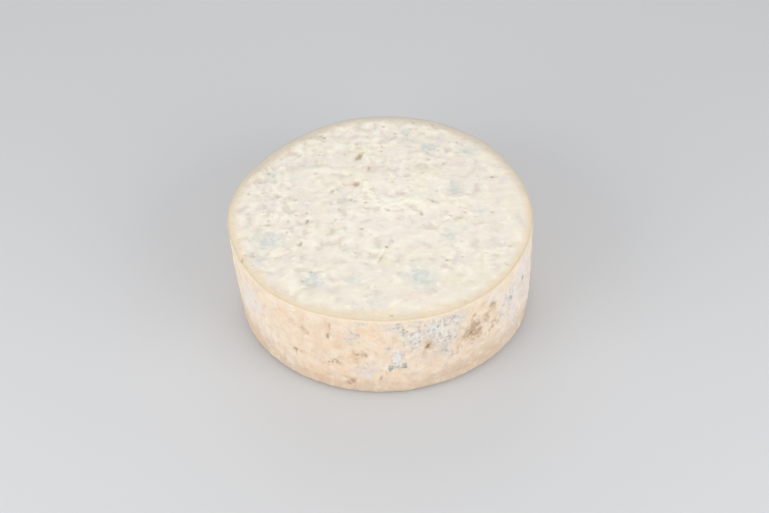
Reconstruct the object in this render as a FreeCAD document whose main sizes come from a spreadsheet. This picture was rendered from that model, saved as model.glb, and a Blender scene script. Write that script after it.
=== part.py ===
import FreeCAD, Part
import math
import os

# Half a wheel of soft blue cheese, 280 mm across and 101 mm high.
#
# The curd was drained in a hoop, turned, salted and pierced with needles, and the ripe wheel was
# then cut across its middle with a wire. The half lies on its own flat face. Its foot is rounded
# over, its flank is a little uneven all round, the wire left long ridges along its way in the cut
# face, the curd left small openings there, and the needles left rings of marks in the flat face.
#
# Frame: millimetres, +Z up, the origin at the middle of the flat face that the half rests on.
# The wire was drawn along X.

SIZES = (
    ("wheel_diameter", 280.0, "mean width of the cut face"),
    ("cut_height", 101.0, "from the flat face to the middle of the cut face"),
    ("heel_radius", 9.0, "rounding between the flank and the flat face"),
    ("flank_taper", 2.0, "how much less the radius is at the foot than at the cut"),
    ("flank_belly", 0.8, "how far the flank swells out at mid height"),
    ("cut_lean", 2.0, "how far the cut face has moved towards -X over the foot"),
    ("cut_bulge_three", 1.5, "height of the three bulges in the outline at the cut"),
    ("cut_bulge_five", 0.6, "height of the five bulges in the outline at the cut"),
    ("cut_bulge_six", 0.8, "height of the six bulges in the outline at the cut"),
    ("foot_bulge_three", 1.2, "height of the three bulges in the outline at the foot"),
    ("foot_bulge_four", 0.8, "height of the four bulges in the outline at the foot"),
    ("foot_bulge_five", 1.0, "height of the five bulges in the outline at the foot"),
    ("wire_ridge", 0.55, "height of the ridges that the wire left"),
    ("wire_ridge_pitch", 41.0, "distance between the ridges, along Y"),
    ("wire_sway", 5.0, "how far a ridge wanders sideways"),
    ("wire_sway_length", 210.0, "length along X over which a ridge wanders and comes back"),
    ("wire_bow", 0.6, "how much higher the cut face is in its middle than at its rim"),
    ("eye_depth_share", 0.75, "depth of an opening in the cut face over its width"),
    ("crack_depth_share", 0.8, "depth of a crack in the rind over its width"),
    ("needle_radius", 1.6, "radius of a needle mark in the flat face"),
    ("needle_depth", 6.0, "depth to which a needle mark has stayed open"),
    ("needle_ring_pitch", 26.0, "distance between the rings of needle marks"),
    ("needle_margin", 12.0, "width kept clear of needle marks at the edge of the flat face"),
)

# Bulges of an outline: how many there are round it, the size that holds their height, and the
# direction of one of them in degrees from +X.
CUT_BULGES = (
    (3, "cut_bulge_three", -49.0),
    (5, "cut_bulge_five", 21.0),
    (6, "cut_bulge_six", -9.0),
)
FOOT_BULGES = (
    (3, "foot_bulge_three", -23.0),
    (4, "foot_bulge_four", 41.0),
    (5, "foot_bulge_five", -22.0),
)
OUTLINE_POINTS = 24
LOWER_LEVELS = (0.7, 0.35, 0.0)

# The wire's way: how far it reaches from the axis as a share of the wheel's width, the number of
# steps in which it is followed, and the number of steps in which each ridge is drawn.
CUT_REACH = 0.6
WIRE_STEPS = 4
RIDGE_STEPS = 5

# The waste above the cut, over the depth of the unevenness: where the moulded wheel ends, and where
# the cut ends, well above it.
WHEEL_SPARE = 6
CUT_SPARE = 18

# How near to the flat face an edge counts as lying in it, in millimetres.
LEVEL_WITH_FLOOR = 0.001

# Openings of the curd that the wire laid open: X and Y from the axis as shares of the wheel's mean
# radius, then length, width and the direction of the length in degrees.
EYES = (
    (-0.15, 0.57, 14.0, 5.0, 55.0),
    (-0.16, 0.27, 8.0, 5.5, 80.0),
    (-0.50, -0.08, 7.0, 3.5, 85.0),
    (-0.54, -0.29, 7.0, 4.5, 70.0),
    (-0.02, -0.45, 15.0, 2.6, 68.0),
    (0.43, 0.46, 5.0, 3.6, 60.0),
    (0.71, -0.05, 4.6, 3.6, 10.0),
    (-0.56, 0.60, 9.0, 4.0, 60.0),
    (0.25, -0.04, 6.0, 4.4, 20.0),
    (-0.33, -0.18, 7.0, 4.2, 60.0),
    (0.09, -0.58, 7.0, 3.0, 75.0),
)

# Cracks and pits in the rind: direction from the axis in degrees, height as a share of the cut
# height, then length, width and the slant of the length in degrees from level.
CRACKS = (
    (-47.0, 0.78, 9.0, 3.2, 60.0),
    (-54.0, 0.625, 9.0, 4.5, 40.0),
    (-57.5, 0.56, 12.0, 5.0, 60.0),
    (-111.0, 0.74, 7.0, 3.4, 80.0),
    (-110.5, 0.87, 9.0, 2.6, 75.0),
    (-125.0, 0.42, 9.0, 3.0, -20.0),
    (-103.0, 0.205, 7.0, 5.0, 40.0),
    (-32.0, 0.3, 8.0, 3.4, 35.0),
    (8.0, 0.66, 11.0, 3.4, -35.0),
    (34.0, 0.44, 8.0, 4.0, 20.0),
    (97.0, 0.38, 12.0, 3.6, 15.0),
    (128.0, 0.6, 8.0, 4.2, -50.0),
    (163.0, 0.47, 9.0, 3.2, 30.0),
)


# --- The sheet of sizes ---------------------------------------------------------------------------


def make_sheet(doc):
    """The spreadsheet that holds every driving size under a plain word."""
    sheet = doc.addObject("Spreadsheet::Sheet", "Sizes")
    for row, (alias, value, meaning) in enumerate(SIZES, start=1):
        sheet.set(f"A{row}", meaning)
        sheet.set(f"B{row}", str(value))
        sheet.setAlias(f"B{row}", alias)
    doc.recompute()
    return sheet


# --- The form of the wheel ------------------------------------------------------------------------


def bulge(sheet, bulges, angle):
    """How far an outline stands out at an angle, in millimetres."""
    return sum(getattr(sheet, size) * math.cos(count * (angle - math.radians(turn)))
               for count, size, turn in bulges)


def outline_radius(sheet, angle, level):
    """Distance from the axis to the flank. The level is 0 at the flat face and 1 at the cut."""
    even = sheet.wheel_diameter / 2 - sheet.flank_taper * (1 - level)
    swell = sheet.flank_belly * math.sin(math.pi * level)
    uneven = level * bulge(sheet, CUT_BULGES, angle) + (1 - level) * bulge(sheet, FOOT_BULGES, angle)
    return even + swell + uneven


def flank_point(sheet, angle, level):
    """The place of a point of the flank, in the plane of its own level."""
    radius = outline_radius(sheet, angle, level)
    return FreeCAD.Vector(radius * math.cos(angle) - sheet.cut_lean * level, radius * math.sin(angle), 0)


def outline_curve(sheet, level):
    """The closed outline of the cheese at one level, as one smooth curve."""
    turns = [2 * math.pi * i / OUTLINE_POINTS for i in range(OUTLINE_POINTS)]
    curve = Part.BSplineCurve()
    curve.interpolate([flank_point(sheet, turn, level) for turn in turns], PeriodicFlag=True)
    return curve


def cut_rise(sheet, x, y):
    """How much higher the cut face is at a place than its mean level."""
    sway = sheet.wire_sway * math.sin(2 * math.pi * x / sheet.wire_sway_length)
    ridge = sheet.wire_ridge * math.sin(2 * math.pi * (y + sway) / sheet.wire_ridge_pitch)
    bow = sheet.wire_bow * (0.5 - (x * x + y * y) / (sheet.wheel_diameter / 2) ** 2)
    return ridge + bow


# --- The clean half, as features of one body --------------------------------------------------------


def plane_of(body, role):
    """One of a body's own origin planes."""
    return next(part for part in body.Origin.OriginFeatures if part.Role == role)


def add_sketch(body, name, offset, role="XY_Plane"):
    """A sketch parallel to one of a body's planes, moved off it by an expression."""
    sketch = body.newObject("Sketcher::SketchObject", name)
    sketch.AttachmentSupport = [(plane_of(body, role), "")]
    sketch.MapMode = "FlatFace"
    sketch.setExpression("AttachmentOffset.Base.z", offset)
    return sketch


def waste_height(sheet, spare):
    """A height above the cut that the wire's unevenness stays well clear of."""
    return spare * (sheet.wire_ridge + sheet.wire_bow)


def loft_wheel(doc, body, sheet):
    """The uneven wheel: a smooth loft through its outlines.

    It runs from above the cut down to the flat face, because a fillet at the foot of a loft that
    runs upwards turns its solid inside out.
    """
    top_level = 1 + waste_height(sheet, WHEEL_SPARE) / sheet.cut_height
    outlines = []
    for number, level in enumerate((top_level, *LOWER_LEVELS)):
        sketch = add_sketch(body, f"outline_{number}", f"Sizes.cut_height * {level}")
        sketch.addGeometry(outline_curve(sheet, level), False)
        outlines.append(sketch)
    doc.recompute()
    loft = body.newObject("PartDesign::AdditiveLoft", "lofted_wheel")
    loft.Profile = outlines[0]
    loft.Sections = outlines[1:]
    loft.Ruled = False
    doc.recompute()
    return loft


def round_heel(doc, body, loft):
    """The foot rounded over, where the hoop's corner pressed the young curd."""
    edges = [f"Edge{i}" for i, edge in enumerate(loft.Shape.Edges, start=1)
             if edge.BoundBox.ZMax < LEVEL_WITH_FLOOR]
    heel = body.newObject("PartDesign::Fillet", "heel")
    heel.Base = (loft, edges)
    heel.setExpression("Radius", "Sizes.heel_radius")
    doc.recompute()
    return heel


def count_rings(sheet):
    """How many rings of needle marks the flat face has room for inside the heel."""
    foot = sheet.wheel_diameter / 2 - sheet.flank_taper - sheet.heel_radius
    hollows = sheet.foot_bulge_three + sheet.foot_bulge_four + sheet.foot_bulge_five
    return int((foot - hollows - sheet.needle_margin) // sheet.needle_ring_pitch)


def pierce_ring(doc, body, ring):
    """One ring of needle marks: a narrow hole in the flat face, repeated round the axis."""
    mark = body.newObject("PartDesign::SubtractiveCylinder", f"needle_{ring}")
    mark.setExpression("Radius", "Sizes.needle_radius")
    mark.setExpression("Height", "Sizes.needle_depth")
    mark.AttachmentSupport = [(plane_of(body, "XY_Plane"), "")]
    mark.MapMode = "FlatFace"
    mark.setExpression("AttachmentOffset.Base.x", f"Sizes.needle_ring_pitch * {ring}")
    doc.recompute()
    circle = body.newObject("PartDesign::PolarPattern", f"needle_ring_{ring}")
    circle.Originals = [mark]
    circle.Axis = (plane_of(body, "Z_Axis"), [""])
    circle.Angle = 360
    circle.Occurrences = 6 * ring
    body.Tip = circle
    doc.recompute()


def wire_profile(sheet, x):
    """The closed outline of the waste at one place along the wire's way, in the plane across it."""
    reach = CUT_REACH * sheet.wheel_diameter
    rows = math.ceil(2 * reach / (sheet.wire_ridge_pitch / RIDGE_STEPS))
    line = []
    for row in range(rows + 1):
        y = reach * (2 * row / rows - 1)
        line.append(FreeCAD.Vector(y, sheet.cut_height + cut_rise(sheet, x, y), 0))
    curve = Part.BSplineCurve()
    curve.interpolate(line)
    ceiling = sheet.cut_height + waste_height(sheet, CUT_SPARE)
    left = FreeCAD.Vector(-reach, ceiling, 0)
    right = FreeCAD.Vector(reach, ceiling, 0)
    sides = [(line[-1], right), (right, left), (left, line[0])]
    return [curve, *(Part.LineSegment(start, end) for start, end in sides)]


def draw_wire(doc, body, sheet):
    """The wire drawn through along X: a loft through the ridged line that it left at each place."""
    profiles = []
    for number in range(WIRE_STEPS + 1):
        share = CUT_REACH * (2 * number / WIRE_STEPS - 1)
        sketch = add_sketch(body, f"wire_{number}", f"Sizes.wheel_diameter * {share}", "YZ_Plane")
        sketch.addGeometry(wire_profile(sheet, share * sheet.wheel_diameter), False)
        profiles.append(sketch)
    doc.recompute()
    cut = body.newObject("PartDesign::SubtractiveLoft", "wire_cut")
    cut.Profile = profiles[0]
    cut.Sections = profiles[1:]
    cut.Ruled = False
    doc.recompute()


def make_clean_half(doc, sheet):
    """The wheel as the hoop and the needles left it, cut across its middle with the wire."""
    body = doc.addObject("PartDesign::Body", "clean_half")
    body.Label = "clean_half"
    loft = loft_wheel(doc, body, sheet)
    round_heel(doc, body, loft)
    for ring in range(1, count_rings(sheet) + 1):
        pierce_ring(doc, body, ring)
    draw_wire(doc, body, sheet)
    return body


# --- The openings and cracks ------------------------------------------------------------------------


def add_hollow(doc, name, length, width, depth, placement):
    """A pit with rounded ends: its own X is its length, and its own Z is its depth."""
    hollow = doc.addObject("Part::Ellipsoid", name)
    hollow.Label = name
    hollow.Radius1 = depth
    hollow.Radius2 = length / 2
    hollow.Radius3 = width / 2
    hollow.Angle1 = -90
    hollow.Angle2 = 90
    hollow.Placement = placement
    return hollow


def make_eyes(doc, sheet):
    """The openings of the curd in the cut face."""
    eyes = []
    radius = sheet.wheel_diameter / 2
    for number, (share_x, share_y, length, width, turn) in enumerate(EYES, start=1):
        x, y = share_x * radius, share_y * radius
        place = FreeCAD.Vector(x, y, sheet.cut_height + cut_rise(sheet, x, y))
        spin = FreeCAD.Rotation(FreeCAD.Vector(0, 0, 1), turn)
        depth = sheet.eye_depth_share * width
        eyes.append(add_hollow(doc, f"eye_{number}", length, width, depth, FreeCAD.Placement(place, spin)))
    return eyes


def make_cracks(doc, sheet):
    """The cracks and pits in the rind of the flank."""
    cracks = []
    for number, (azimuth, level, length, width, slant) in enumerate(CRACKS, start=1):
        place = flank_point(sheet, math.radians(azimuth), level)
        place.z = level * sheet.cut_height
        outwards = FreeCAD.Rotation(FreeCAD.Vector(0, 0, 1), azimuth + 90)
        upright = FreeCAD.Rotation(FreeCAD.Vector(1, 0, 0), 90)
        lean = FreeCAD.Rotation(FreeCAD.Vector(0, 0, 1), slant)
        depth = sheet.crack_depth_share * width
        spin = outwards.multiply(upright).multiply(lean)
        cracks.append(add_hollow(doc, f"crack_{number}", length, width, depth, FreeCAD.Placement(place, spin)))
    return cracks


def make_half_wheel(doc, clean_half, hollows):
    """The clean half with its openings and cracks."""
    pits = doc.addObject("Part::MultiFuse", "pits")
    pits.Label = "pits"
    pits.Shapes = hollows
    half = doc.addObject("Part::Cut", "half_wheel")
    half.Label = "half_wheel"
    half.Base = clean_half
    half.Tool = pits
    doc.recompute()
    return half


# --- Building, checking and writing ---------------------------------------------------------------


def check(doc, half):
    """Stops the build where a feature has failed or the half wheel isn't one sound solid."""
    for thing in doc.Objects:
        if "Invalid" in thing.State or "Error" in thing.State:
            raise RuntimeError(f"{thing.Name} has failed: {thing.State}")
    shape = half.Shape
    if shape.isNull() or not shape.isValid() or len(shape.Solids) != 1:
        raise RuntimeError("the half wheel isn't one valid solid")


def main():
    doc = FreeCAD.newDocument("half_wheel")
    sheet = make_sheet(doc)
    clean_half = make_clean_half(doc, sheet)
    print("half wheel before its pits, litres:", round(clean_half.Shape.Volume / 1e6, 3))
    half = make_half_wheel(doc, clean_half, [*make_eyes(doc, sheet), *make_cracks(doc, sheet)])
    check(doc, half)
    os.makedirs("parts", exist_ok=True)
    half.Shape.exportStep(os.path.join("parts", f"{half.Label}.step"))
    box = half.Shape.optimalBoundingBox(False, False)
    print("half wheel, litres:", round(half.Shape.Volume / 1e6, 3))
    print("size, mm:", round(box.XLength, 1), round(box.YLength, 1), round(box.ZLength, 1))


main()
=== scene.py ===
# %% [markdown]
# # Half a wheel of soft blue cheese
# A young blue cheese is drained in a hoop, salted, pierced with long needles so that air lets its mould
# grow, and ripened until its rind is tan, dry and freckled with other moulds. This one was then cut
# across its middle with a wire, so it lies on its own flat face and shows its paste on top. The packed
# CAD part gives the true form. The looks are built over it as one closed mesh, in mm.

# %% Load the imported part
import math

import bpy
import numpy as np
from mathutils import Matrix, Vector
from mathutils.bvhtree import BVHTree


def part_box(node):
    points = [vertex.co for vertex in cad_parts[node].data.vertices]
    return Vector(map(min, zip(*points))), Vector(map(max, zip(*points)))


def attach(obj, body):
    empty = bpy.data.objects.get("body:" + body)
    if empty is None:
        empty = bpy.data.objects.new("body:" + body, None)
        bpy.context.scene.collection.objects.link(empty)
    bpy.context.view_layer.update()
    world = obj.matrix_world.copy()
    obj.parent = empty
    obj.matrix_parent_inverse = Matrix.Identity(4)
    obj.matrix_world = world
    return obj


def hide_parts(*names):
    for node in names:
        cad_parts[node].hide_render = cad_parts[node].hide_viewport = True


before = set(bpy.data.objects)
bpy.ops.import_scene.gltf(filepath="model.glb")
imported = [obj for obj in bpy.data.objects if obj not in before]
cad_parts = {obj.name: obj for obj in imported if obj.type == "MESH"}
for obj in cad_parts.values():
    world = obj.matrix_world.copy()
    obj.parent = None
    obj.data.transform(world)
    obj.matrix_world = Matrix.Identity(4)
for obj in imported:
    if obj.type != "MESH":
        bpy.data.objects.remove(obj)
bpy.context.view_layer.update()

MM = 0.001
low, high = (np.array(corner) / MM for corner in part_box("half_wheel"))
print("half wheel in the CAD, mm:", np.round(high - low, 1))

# %% [markdown]
# ## Noise that belongs to the cheese
# Curd, mould and rind are uneven at every size, from a finger's width to a grain of salt. A lattice of
# random slopes, blended smoothly, gives one size, and a sum of ever finer ones gives them all. Numpy
# works it out for the mesh, because relief of half a millimetre must be in the geometry. The same seed
# always gives the same cheese.

# %% Lattice noise
SEED = 7
LATTICE = 256  # cells before the lattice repeats
NOISE_GAIN = 1.6  # brings the noise to about -1 to 1
dice = np.random.default_rng(SEED)
SHUFFLE = np.tile(dice.permutation(LATTICE), 2)
SLOPES = dice.normal(size=(LATTICE, 3))
SLOPES /= np.linalg.norm(SLOPES, axis=1, keepdims=True)


def lattice_noise(points):
    """Smooth noise from about -1 to 1 at each row of points, one lump per unit."""
    cell = np.floor(points).astype(int)
    part = points - cell
    blend = part ** 3 * (part * (part * 6 - 15) + 10)
    total = np.zeros(len(points))
    for corner in np.ndindex(2, 2, 2):
        x, y, z = ((cell + corner) % LATTICE).T
        slope = SLOPES[SHUFFLE[SHUFFLE[SHUFFLE[x] + y] + z]]
        weight = np.prod(np.where(corner, blend, 1 - blend), axis=1)
        total += weight * np.sum(slope * (part - corner), axis=1)
    return NOISE_GAIN * total


def extent(values):
    """The least and the greatest of some values, to print."""
    return f"{values.min():.1f} to {values.max():.1f}"


print("noise inside a cell:", lattice_noise(np.full((1, 3), 0.5)).round(2))

# %% Sums of noise, and soft steps
OCTAVE_SHIFT = 17.3  # moves each octave, so that no two line up


def roughen(points, size, octaves=3, shift=0.0):
    """Noise of lumps of a size in mm, one number or one for each axis, with finer ones on top."""
    total = np.zeros(len(points))
    for octave in range(octaves):
        place = points / np.asarray(size, float) * 2 ** octave + shift + OCTAVE_SHIFT * octave
        total += lattice_noise(place) / 2 ** octave
    return total


def ramp(start, full, value):
    """A share that is 0 at the start, 1 where it is full, and rises smoothly between."""
    share = np.clip((value - start) / (full - start), 0, 1)
    return share * share * (3 - 2 * share)


def partly(least, share):
    """A factor from the least, where the share is 0, to 1, where it is 1."""
    return least + (1 - least) * share


trial = dice.uniform(0, 500, (4000, 3))
print("noise spread:", np.round(np.std(roughen(trial, 20)), 2))

# %% [markdown]
# ## The form, read from the CAD
# The outline of a hooped cheese is never a true circle, and the wire leaves long low ridges. Rays cast
# at the CAD solid find both, so that the mesh keeps the true form. The solid's own pits are smoothed
# away, and finer ones come later.

# %% Rays at the solid
FAR = 400.0  # mm, outside the cheese
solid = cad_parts["half_wheel"]
solid_tree = BVHTree.FromObject(solid, bpy.context.evaluated_depsgraph_get())


def cast(start, direction):
    """The place in mm where a ray from a point in mm first meets the solid."""
    hit = solid_tree.ray_cast(Vector(start) * MM, Vector(direction))[0]
    return None if hit is None else np.array(hit) / MM


print("middle of the cut face, mm:", cast((0, 0, FAR), (0, 0, -1)).round(1))

# %% Rows of points down the flank and round the heel
RINGS = 110  # rings of points on the cut face
ROUND = 6 * RINGS  # points in each row of the flank
FLANK_ROWS = 58
HEEL_ROWS = 8
HEEL_RADIUS = 9.0  # mm, the rounding between flank and flat face
TOP_MARGIN = 2.5  # mm from the top down to the first row
LEAST_HEIGHT = 0.03  # mm, so that the last rays still meet the solid
turns = 2 * np.pi * np.arange(ROUND) / ROUND
outward = np.stack([np.cos(turns), np.sin(turns)], axis=1)
heel_angles = np.linspace(0, np.pi / 2, HEEL_ROWS + 1)[1:]
flank_heights = np.linspace(high[2] - TOP_MARGIN, HEEL_RADIUS, FLANK_ROWS)
heel_heights = HEEL_RADIUS * (1 - np.sin(heel_angles))
row_heights = np.concatenate([flank_heights, np.maximum(heel_heights, LEAST_HEIGHT)])
print(len(row_heights), "rows of", ROUND, "points")

# %% Radii of the rows
ROW_PASSES = 50  # smoothing passes, about 7 mm to each side


def read_radii(height):
    """The radii of the flank all round at one height in mm, smoothed."""
    hits = [cast((FAR * x, FAR * y, height), (-x, -y, 0)) for x, y in outward]
    radii = np.array([np.hypot(*hit[:2]) for hit in hits])
    for _ in range(ROW_PASSES):
        radii = (np.roll(radii, 1) + 2 * radii + np.roll(radii, -1)) / 4
    return radii


row_radii = np.array([read_radii(height) for height in row_heights])
rim_radii = row_radii[0]
print("radius at the cut, mm:", extent(rim_radii))

# %% Heights of the cut face, on a grid of squares
GRID_STEP = 4.0  # mm
GRID_REACH = 152.0  # mm from the axis, past the widest radius
GRID_PASSES = 5  # smoothing passes, about 6 mm to each side
PIT_MARGIN = 4.0  # mm below the top: lower hits are pits or the flank
grid_line = np.arange(-GRID_REACH, GRID_REACH + 0.1, GRID_STEP)
grid_sum = np.zeros((len(grid_line), len(grid_line)))
grid_count = np.zeros_like(grid_sum)
for column, x in enumerate(grid_line):
    for row, y in enumerate(grid_line):
        found = cast((x, y, FAR), (0, 0, -1))
        if found is not None and found[2] > high[2] - PIT_MARGIN:
            grid_sum[column, row] = found[2]
            grid_count[column, row] = 1


def spread(values):
    """Each square shares a half of its value with its neighbours."""
    for axis in (0, 1):
        values = (np.roll(values, 1, axis) + 2 * values + np.roll(values, -1, axis)) / 4
    return values


on_cheese = grid_count > 0
for _ in range(GRID_PASSES):
    grid_sum, grid_count = spread(grid_sum), spread(grid_count)
grid_height = grid_sum / np.maximum(grid_count, 1e-6)
print("cut face, mm:", extent(grid_height[on_cheese]))

# %% Heights between the squares
def face_height(x, y):
    """The height of the cut face in mm, between the squares too."""
    across, along = (x + GRID_REACH) / GRID_STEP, (y + GRID_REACH) / GRID_STEP
    column, row = np.floor(across).astype(int), np.floor(along).astype(int)
    part_x, part_y = across - column, along - row
    near = grid_height[column, row] * (1 - part_x) + grid_height[column + 1, row] * part_x
    far = grid_height[column, row + 1] * (1 - part_x) + grid_height[column + 1, row + 1] * part_x
    return near * (1 - part_y) + far * part_y


zero = np.zeros(1)
print("height on the axis, mm:", face_height(zero, zero).round(2))

# %% [markdown]
# ## What lies on the cut face
# The wire drags soft paste along its way, so it is smeared along X in dabs and thin skins, and where
# the paste is crumbly it tears. Openings of the curd show brown, with painted shade deeper in. Mould
# grows in pockets: cut through, they are pale blue-green and sit a little low. Other parts of the paste
# are more pink, lilac or straw, painted light makes the middle paler, and along the rim runs a ripe
# band without mould. All of these are listed, in mm from the axis.

# %% Pockets of mould and openings of the curd
# Pockets: X, Y, half width, half depth and strength.
POCKETS = (
    (-106, -36, 17, 14, 0.82), (-64, -86, 10, 12, 0.9), (31, -87, 14, 14, 1.05), (69, 28, 10, 13, 0.75),
    (61, -37, 9, 13, 0.7), (47, 89, 11, 8, 1), (84, 84, 12, 11, 0.7), (27, 114, 8, 8, 0.7),
    (-37, 18, 8, 18, 0.4), (-30, -86, 9, 10, 0.6), (-105, 55, 9, 9, 0.5), (-111, -58, 9, 8, 0.5),
    (-29, -51, 8, 9, 0.3), (-6, -117, 12, 6, 0.45), (-75, 10, 9, 14, 0.3), (89, -5, 7, 8, 0.3),
)
# Openings: X, Y, length, width, direction of the length in degrees, and depth.
OPENINGS = (
    (-21, 80, 17, 6.4, 58, 2), (-12, 61.5, 10, 3.8, 84, 1.3), (-24, 39.5, 11, 8.4, 74, 1.4),
    (-47, 30, 7, 3.8, 55, 1.1), (-70, -10, 7.5, 4, 80, 2.2), (-75.5, -40, 8, 4.4, 65, 1.5),
    (2, -48, 5, 3.8, 70, 1.6), (-3, -63, 13, 3, 66, 0.7), (24, -67, 4, 3.4, 20, 1.2),
    (60, 65, 6, 3.8, 60, 1.4), (104.5, 42, 4.6, 4, 20, 1.6), (101, -7, 5, 3.8, 10, 1.2),
    (-79, 85, 9, 5, 55, 1.3), (-41, -30, 5, 3.8, 40, 0.7), (-63, 56, 4.4, 3.4, 60, 1.2),
    (-81, 19.5, 3.8, 3.4, 0, 1.8), (4, -132, 4, 3, 0, 1.3), (-127, -59, 6.6, 4.4, 80, 1.5),
    (12, -82, 7, 3.4, 75, 0.8), (51.5, 25, 6, 3.4, 70, 0.9), (35, -6, 7, 5, 20, 0.7),
    (-47, -23, 9, 5, 60, 0.7), (106, -74, 4.6, 3.8, 30, 1), (-60, -45, 3.6, 3, 0, 1.2),
    (-97, 27, 4.4, 3.4, 60, 0.7), (68, -119, 3.6, 3, 0, 1), (112, -52, 4.2, 3.4, 40, 0.8),
    (-71, 12, 3.6, 3, 80, 1), (-70.5, 1, 4.6, 3.2, 85, 1.5), (-88, 12, 3.4, 3, 0, 0.9),
    (-57, -48, 3.6, 2.8, 60, 0.8), (-104, -52, 7, 3, 60, 0.8), (-83, -24, 3.2, 2.8, 0, 0.8),
)
print(len(POCKETS), "pockets,", len(OPENINGS), "openings")

# %% Smears and seams
# Smears of paste that the wire raised: height, width, and the points along the middle.
SMEARS = (
    (0.9, 7, ((-16, 40), (-15, 30), (-10, 21), (-4, 10), (1, 4), (8, 8), (17, 9))),
    (1, 11, ((22, 12), (34, 12))), (0.6, 6, ((53, 22), (58, 15), (66, 12), (77, 14))),
    (0.6, 6, ((44, 2), (50, 1))), (0.5, 6, ((10, 27), (24, 26))),
    (0.4, 4.4, ((-92, -34), (-84, -34), (-80, -46), (-90, -52))),
    (0.4, 5, ((-88, 103), (-70, 106), (-44, 100))), (0.4, 8, ((-56, 101), (-30, 96), (6, 94))),
    (0.35, 5, ((-106, 67), (-88, 65), (-71, 67))), (0.45, 5, ((-118, 0), (-104, 2), (-94, -4))),
    (0.3, 5, ((-40, -119), (-10, -123), (10, -120), (22, -116))), (0.5, 8, ((-16, 86), (-13, 70))),
    (0.4, 6, ((3, -47), (-5, -60))), (0.5, 3.4, ((-72, -78), (-52, -80))),
    (0.5, 5, ((-93, 44), (-84, 41))), (0.4, 4, ((20, -117), (44, -110))),
    (0.4, 8, ((-42, 60), (-30, 52), (-18, 50))),
)
# Seams: grooves that join openings, and grooves under raised smears whose shade is painted as shadow
# lines. Each: depth, width, and the points along the middle.
SEAMS = (
    (0.4, 5.4, ((-47, 30), (-38, 38), (-24, 40))), (0.5, 1.6, ((1, -54), (-7, -70))),
    (0.6, 3.8, ((5, 0), (12, -2), (19, 0))), (0.6, 4.2, ((28, 0), (35, -3), (36, -8))),
    (0.7, 3.4, ((43, 13), (51, 8))), (0.6, 2, ((-92, -40), (-82, -50), (-98, -58))),
)
print(len(SMEARS), "smears,", len(SEAMS), "seams")

# %% Tones of the paste
# Paste of another tone: X, Y, half width, half depth and strength.
PINKS = (
    (-11, 63, 9, 12, 0.9), (38, -12, 12, 12, 1), (26, -55, 13, 10, 0.9), (16, 21, 8, 8, 0.8),
    (72, -7, 12, 8, 0.6), (28, -111, 16, 7, 0.8), (73, 65, 13, 10, 0.7), (-30, 38, 10, 6, 0.9),
    (-46, -88, 10, 8, 0.5), (60, 42, 12, 8, 0.5), (-92, 88, 14, 8, 0.5), (103, 20, 8, 14, 0.4),
)
LILACS = (
    (88, -8, 14, 9, 0.9), (102, -53, 12, 12, 0.7), (-95, -76, 12, 10, 0.6), (-80, 70, 22, 12, 0.7),
    (-45, 8, 14, 16, 0.5), (60, 100, 14, 9, 0.6), (-20, -10, 20, 12, 0.5), (-105, 12, 14, 18, 0.5),
    (10, 50, 18, 9, 0.4), (5, -25, 26, 9, 0.5), (60, -65, 16, 9, 0.5), (-55, -60, 16, 10, 0.4),
)
STRAWS = (
    (-48, -25, 12, 12, 0.9), (40, 49, 18, 14, 1), (73, -18, 14, 8, 0.6), (-25, 58, 12, 10, 0.8),
    (-18, 86, 14, 12, 0.9), (-18, 38, 12, 12, 0.8), (66, 10, 16, 9, 0.7), (5, -68, 14, 12, 0.7),
    (60, -95, 18, 10, 0.6), (-60, 45, 12, 10, 0.5), (118, 5, 8, 22, 0.5), (-70, -100, 12, 9, 0.5),
    (90, -92, 22, 12, 0.6), (-5, 8, 12, 9, 0.6), (-82, -44, 9, 9, 0.6), (0, -128, 40, 7, 0.5),
    (-34, 43, 13, 9, 1), (-57, 12, 8, 12, 0.7),
)
# Painted light on the middle and one more pale patch, and paste that the wire left smooth, in the same
# form.
PALE_AND_PAINTED_LIGHT = ((12, -4, 100, 72, 0.9), (-42, 60, 28, 14, 0.9))
CALM = ((-28, -108, 52, 24, 1),)
# Width in mm of the ripe band along the rim, by direction in degrees.
BAND_TURNS = (-180, -135, -90, -45, 0, 45, 90, 135, 180)
BAND_WIDTHS = (10, 11, 13, 9, 8, 13, 11, 14, 10)
print(len(PINKS + LILACS + STRAWS), "patches of tone")

# %% [markdown]
# ## From places to values
# Every point of the mesh needs to know how far inside a patch it is, how deep in an opening, or how
# high on a smear. Three functions work that out from the lists, with noise added to the distance from
# the middle, so that no edge is a true oval or a straight line.

# %% Patches
PATCH_EDGE = 1.25  # share of the half width at which the field is 0


def patch_field(u, v, patches):
    """How far inside the nearest patch each place is: 1 at its middle, 0 near its edge, -1 outside."""
    field = np.full(len(u), -1.0)
    for u_mid, v_mid, half_u, half_v, strength in patches:
        away = np.hypot((u - u_mid) / half_u, (v - v_mid) / half_v)
        field = np.maximum(field, strength * np.clip(PATCH_EDGE - away, -1, 1))
    return field


print("middle of a patch:", patch_field(zero, zero, [(0, 0, 9, 9, 1)]))

# %% Openings
OPENING_SLOPE = (1.3, 0.3)  # shares of the half width where the slope begins and ends
OPENING_WOBBLE = 0.4
OPENING_REACH = 3.0  # mm past its length


def opening_depth(u, v, openings, wobble):
    """The depth of the openings at each place in mm: steep near the edge, flatter at the bottom."""
    depth = np.zeros(len(u))
    for u_mid, v_mid, length, width, turn, deep in openings:
        near = np.flatnonzero(np.hypot(u - u_mid, v - v_mid) < length + OPENING_REACH)
        cos_turn, sin_turn = math.cos(math.radians(turn)), math.sin(math.radians(turn))
        du, dv = u[near] - u_mid, v[near] - v_mid
        away = np.hypot((du * cos_turn + dv * sin_turn) / (length / 2),
                        (dv * cos_turn - du * sin_turn) / (width / 2))
        away += OPENING_WOBBLE * wobble[near]
        depth[near] = np.maximum(depth[near], deep * ramp(*OPENING_SLOPE, away))
    return depth


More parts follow.
